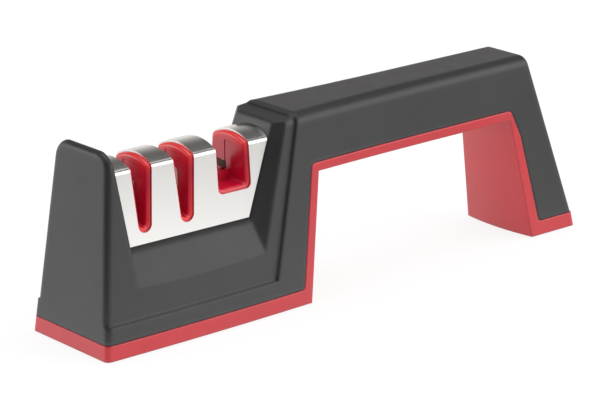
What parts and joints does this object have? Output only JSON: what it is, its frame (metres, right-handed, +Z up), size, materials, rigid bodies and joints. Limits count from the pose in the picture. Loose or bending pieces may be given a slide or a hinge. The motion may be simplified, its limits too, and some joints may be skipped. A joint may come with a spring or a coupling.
{
  "type": "pull through knife sharpener",
  "caption": "Hand-held pull-through knife sharpener: a steel-covered head with slots, joined by a bridge handle to a foot, over a red base that lines the finger opening.",
  "frame": {"origin": "middle of the footprint on the table, under the rubber pads", "axes": "+X along the length from the sharpening head to the foot, +Y across the body, +Z up"},
  "size_m": [0.206, 0.0396, 0.0635],
  "materials": {
    "black_plastic": "fine matte moulded texture",
    "red_plastic": "satin moulded",
    "brushed_steel": "brushed along the height",
    "dark_abrasive": "fine dark abrasive",
    "grey_plastic": "moulded",
    "carbide": "ground",
    "white_ceramic": "fine matt",
    "screw_steel": "plated",
    "pad_rubber": "matt, slightly ribbed"
  },
  "bodies": {
    "root": {"upper_housing": "black_plastic", "lower_housing": "red_plastic", "steel_cover": "brushed_steel", "slot_liner": "red_plastic", "scissor_plate": "dark_abrasive", "scissor_holder": "red_plastic", "coarse_holder": "red_plastic", "coarse_cap": "red_plastic", "coarse_blade_left": "carbide", "coarse_blade_right": "carbide", "fine_holder": "red_plastic", "fine_cap": "red_plastic", "fine_rod_left": "white_ceramic", "fine_rod_right": "white_ceramic", "module_base": "grey_plastic", "module_screws": "screw_steel", "head_screws": "screw_steel", "foot_screw": "screw_steel", "head_pad": "pad_rubber", "foot_pad": "pad_rubber"}
  },
  "joints": []
}
